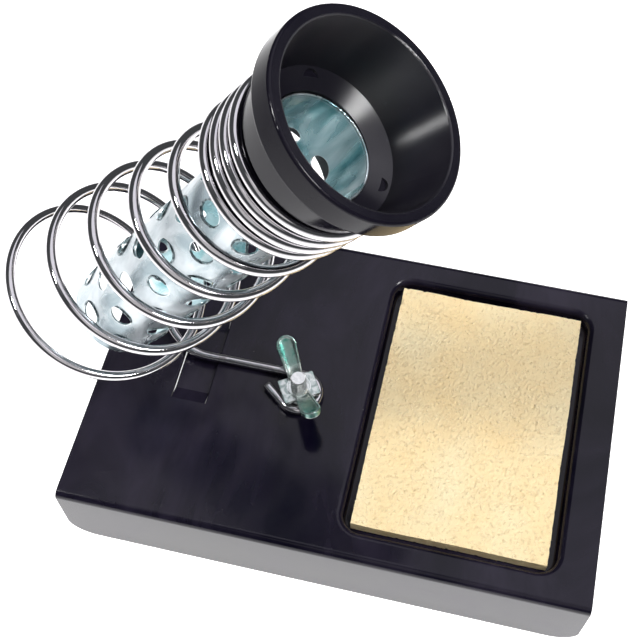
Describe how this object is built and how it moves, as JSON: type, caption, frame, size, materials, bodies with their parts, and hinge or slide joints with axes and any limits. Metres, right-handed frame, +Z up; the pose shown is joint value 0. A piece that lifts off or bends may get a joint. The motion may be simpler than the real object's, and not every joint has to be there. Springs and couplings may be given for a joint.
{
  "type": "soldering iron stand",
  "caption": "Bench stand for a soldering iron: folded sheet base with sponge tray, and a clamped conical wire coil carrying a moulded funnel and a perforated heat sleeve.",
  "frame": {"origin": "centre of the base's footprint, on the surface the stand rests on", "axes": "+X along the base from the coil's end to the sponge tray, +Y from the front apron to the back, +Z up"},
  "size_m": [0.1868, 0.11, 0.1898],
  "materials": {
    "base_paint": "black gloss stove enamel on 1.5 mm steel sheet",
    "sponge": "dry cellulose sponge, pale yellow, fine pores, sharp cut edges",
    "zinc_plate": "bright zinc-plated stamped steel",
    "chrome_wire": "bright chrome-plated spring wire",
    "phenolic": "black glossy phenolic moulding with faint turning marks",
    "sleeve_zinc": "thin zinc-plated sheet with a pale blue-green passivation"
  },
  "bodies": {
    "base": {"base_plate": "base_paint", "clamp_screw": "zinc_plate", "lock_washer": "zinc_plate"},
    "holder": {"wire_holder": "chrome_wire", "funnel": "phenolic", "heat_sleeve": "sleeve_zinc"},
    "washer": {"flat_washer": "zinc_plate"},
    "nut": {"wing_nut": "zinc_plate"},
    "sponge_block": {"sponge": "sponge"}
  },
  "joints": [
    {"name": "holder_swivel", "type": "hinge", "parent": "base", "child": "holder", "pos_m": [-0.0169, -0.0046, 0.0316], "axis": [0, 0, 1], "range_deg": [-20, 25]},
    {"name": "washer_rise", "type": "slide", "parent": "base", "child": "washer", "axis": [0, 0, 1], "range_m": [0, 0.0024]},
    {"name": "nut_turn", "type": "hinge", "parent": "washer", "child": "nut", "pos_m": [-0.0169, -0.0046, 0.0344], "axis": [0, 0, 1], "range_deg": [0, 1080]},
    {"name": "sponge_lift", "type": "slide", "parent": "base", "child": "sponge_block", "axis": [0, 0, 1], "range_m": [0, 0.02]}
  ],
  "couplings": [
    {"joint": "washer_rise", "follows": "nut_turn", "m_per_rad": 0.00012732}
  ]
}
